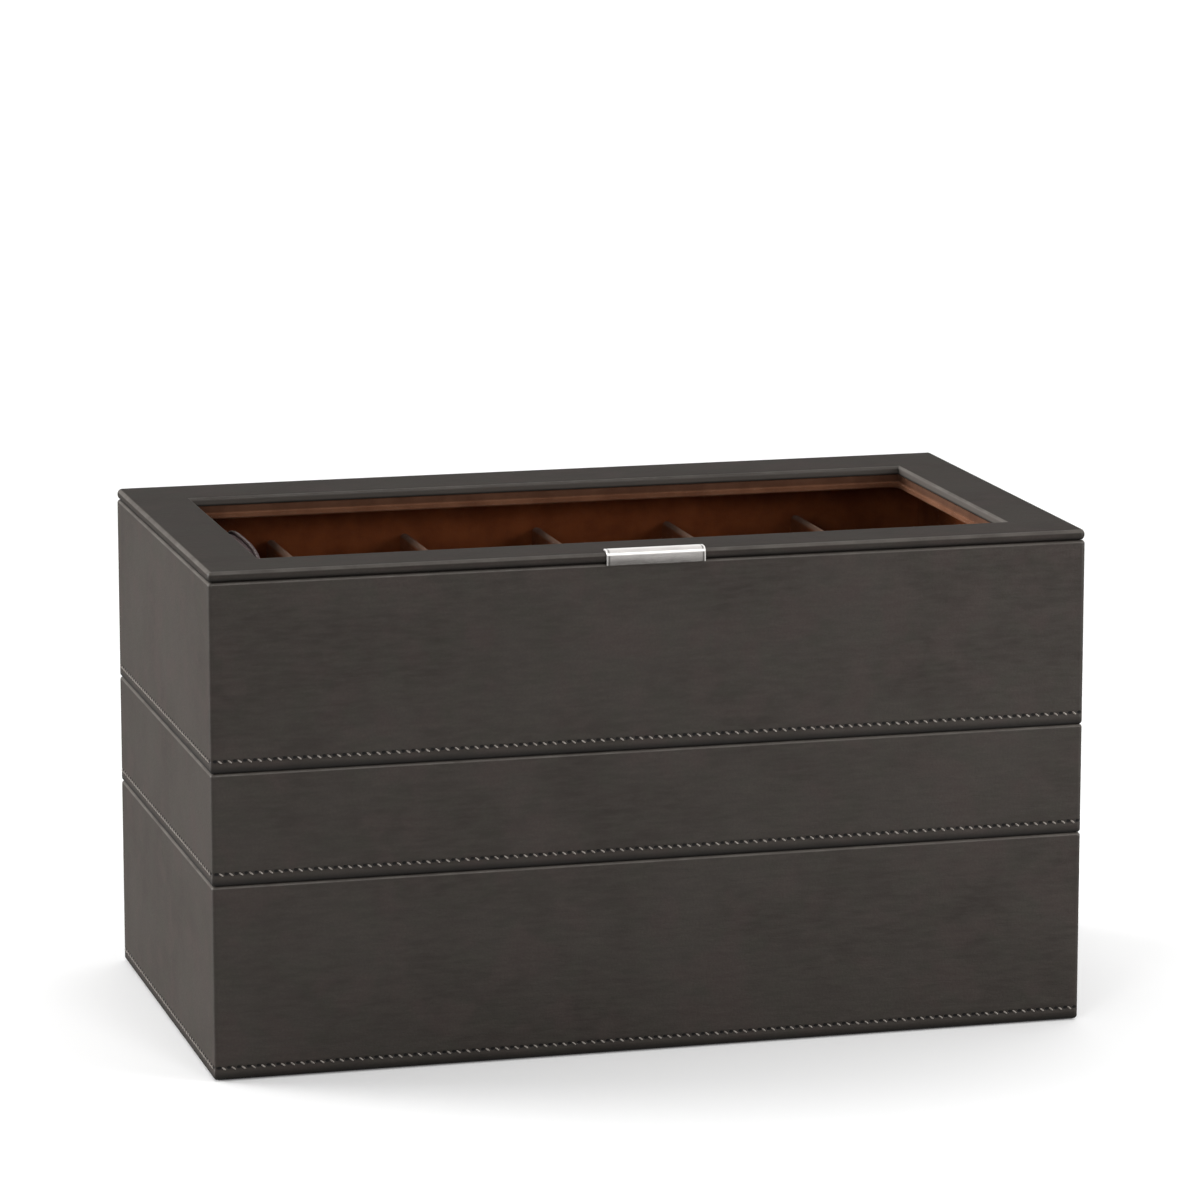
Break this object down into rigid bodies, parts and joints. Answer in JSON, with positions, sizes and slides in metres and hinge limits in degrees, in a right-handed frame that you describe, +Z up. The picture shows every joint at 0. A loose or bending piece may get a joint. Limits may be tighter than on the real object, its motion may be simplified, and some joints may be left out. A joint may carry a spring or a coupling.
{
  "type": "stackable watch box",
  "caption": "Stack of leatherette boxes: a hinged watch box with a glazed lid on lift-off trays, suede lined and divided into cells.",
  "frame": {"origin": "middle of the felt underside, midway between the outer faces of the walls", "axes": "+Z up, front with the pull tab towards -Y, +X to the right seen from the front"},
  "size_m": [0.34, 0.1925, 0.1937],
  "materials": {
    "leatherette": "satin anthracite-brown leatherette with a fine grain",
    "board": "plain fibreboard, hidden under the cover",
    "lining_suede": "brown suede",
    "cushion_suede": "grey-brown suede with sewn edges",
    "felt": "black felt",
    "glass": "clear pane",
    "tab_steel": "brushed, polished edges",
    "hinge_metal": "satin nickel",
    "screw_steel": "plain"
  },
  "bodies": {
    "bottom_tray": {"bottom_base": "board", "bottom_cover": "leatherette", "bottom_cross_divider_1": "lining_suede", "bottom_cross_divider_2": "lining_suede", "bottom_felt": "felt", "bottom_floor": "lining_suede", "bottom_lining": "lining_suede", "bottom_long_divider": "lining_suede", "bottom_walls": "board"},
    "middle_tray": {"middle_base": "board", "middle_cover": "leatherette", "middle_cross_divider_1": "lining_suede", "middle_cross_divider_2": "lining_suede", "middle_cross_divider_3": "lining_suede", "middle_floor": "lining_suede", "middle_lining": "lining_suede", "middle_long_divider": "lining_suede", "middle_ring_rolls": "lining_suede", "middle_walls": "board"},
    "watch_box": {"cushion_back_1": "cushion_suede", "cushion_back_2": "cushion_suede", "cushion_back_3": "cushion_suede", "cushion_back_4": "cushion_suede", "cushion_back_5": "cushion_suede", "cushion_back_6": "cushion_suede", "cushion_front_1": "cushion_suede", "cushion_front_2": "cushion_suede", "cushion_front_3": "cushion_suede", "cushion_front_4": "cushion_suede", "cushion_front_5": "cushion_suede", "cushion_front_6": "cushion_suede", "hinge_fixed_leaf_left": "hinge_metal", "hinge_fixed_leaf_right": "hinge_metal", "hinge_pins": "hinge_metal", "wall_screws": "screw_steel", "watch_box_back_lining": "lining_suede", "watch_box_back_wall": "board", "watch_box_base": "board", "watch_box_cover": "leatherette", "watch_box_cross_divider_1": "lining_suede", "watch_box_cross_divider_2": "lining_suede", "watch_box_cross_divider_3": "lining_suede", "watch_box_cross_divider_4": "lining_suede", "watch_box_cross_divider_5": "lining_suede", "watch_box_floor": "lining_suede", "watch_box_front_lining": "lining_suede", "watch_box_front_wall": "board", "watch_box_left_lining": "lining_suede", "watch_box_left_wall": "board", "watch_box_long_divider": "lining_suede", "watch_box_right_lining": "lining_suede", "watch_box_right_wall": "board"},
    "lid": {"hinge_moving_leaf_left": "hinge_metal", "hinge_moving_leaf_right": "hinge_metal", "lid_board": "board", "lid_cover": "leatherette", "lid_glass": "glass", "lid_retaining_frame": "lining_suede", "lid_screws": "screw_steel", "pull_tab": "tab_steel"}
  },
  "joints": [
    {"name": "middle_tray_lift", "type": "slide", "parent": "bottom_tray", "child": "middle_tray", "axis": [0, 0, 1], "range_m": [0, 0.08]},
    {"name": "watch_box_lift", "type": "slide", "parent": "middle_tray", "child": "watch_box", "axis": [0, 0, 1], "range_m": [0, 0.08]},
    {"name": "lid_hinge", "type": "hinge", "parent": "watch_box", "child": "lid", "pos_m": [0, 0.096, 0.1887], "axis": [-1, 0, 0], "range_deg": [0, 100]}
  ]
}
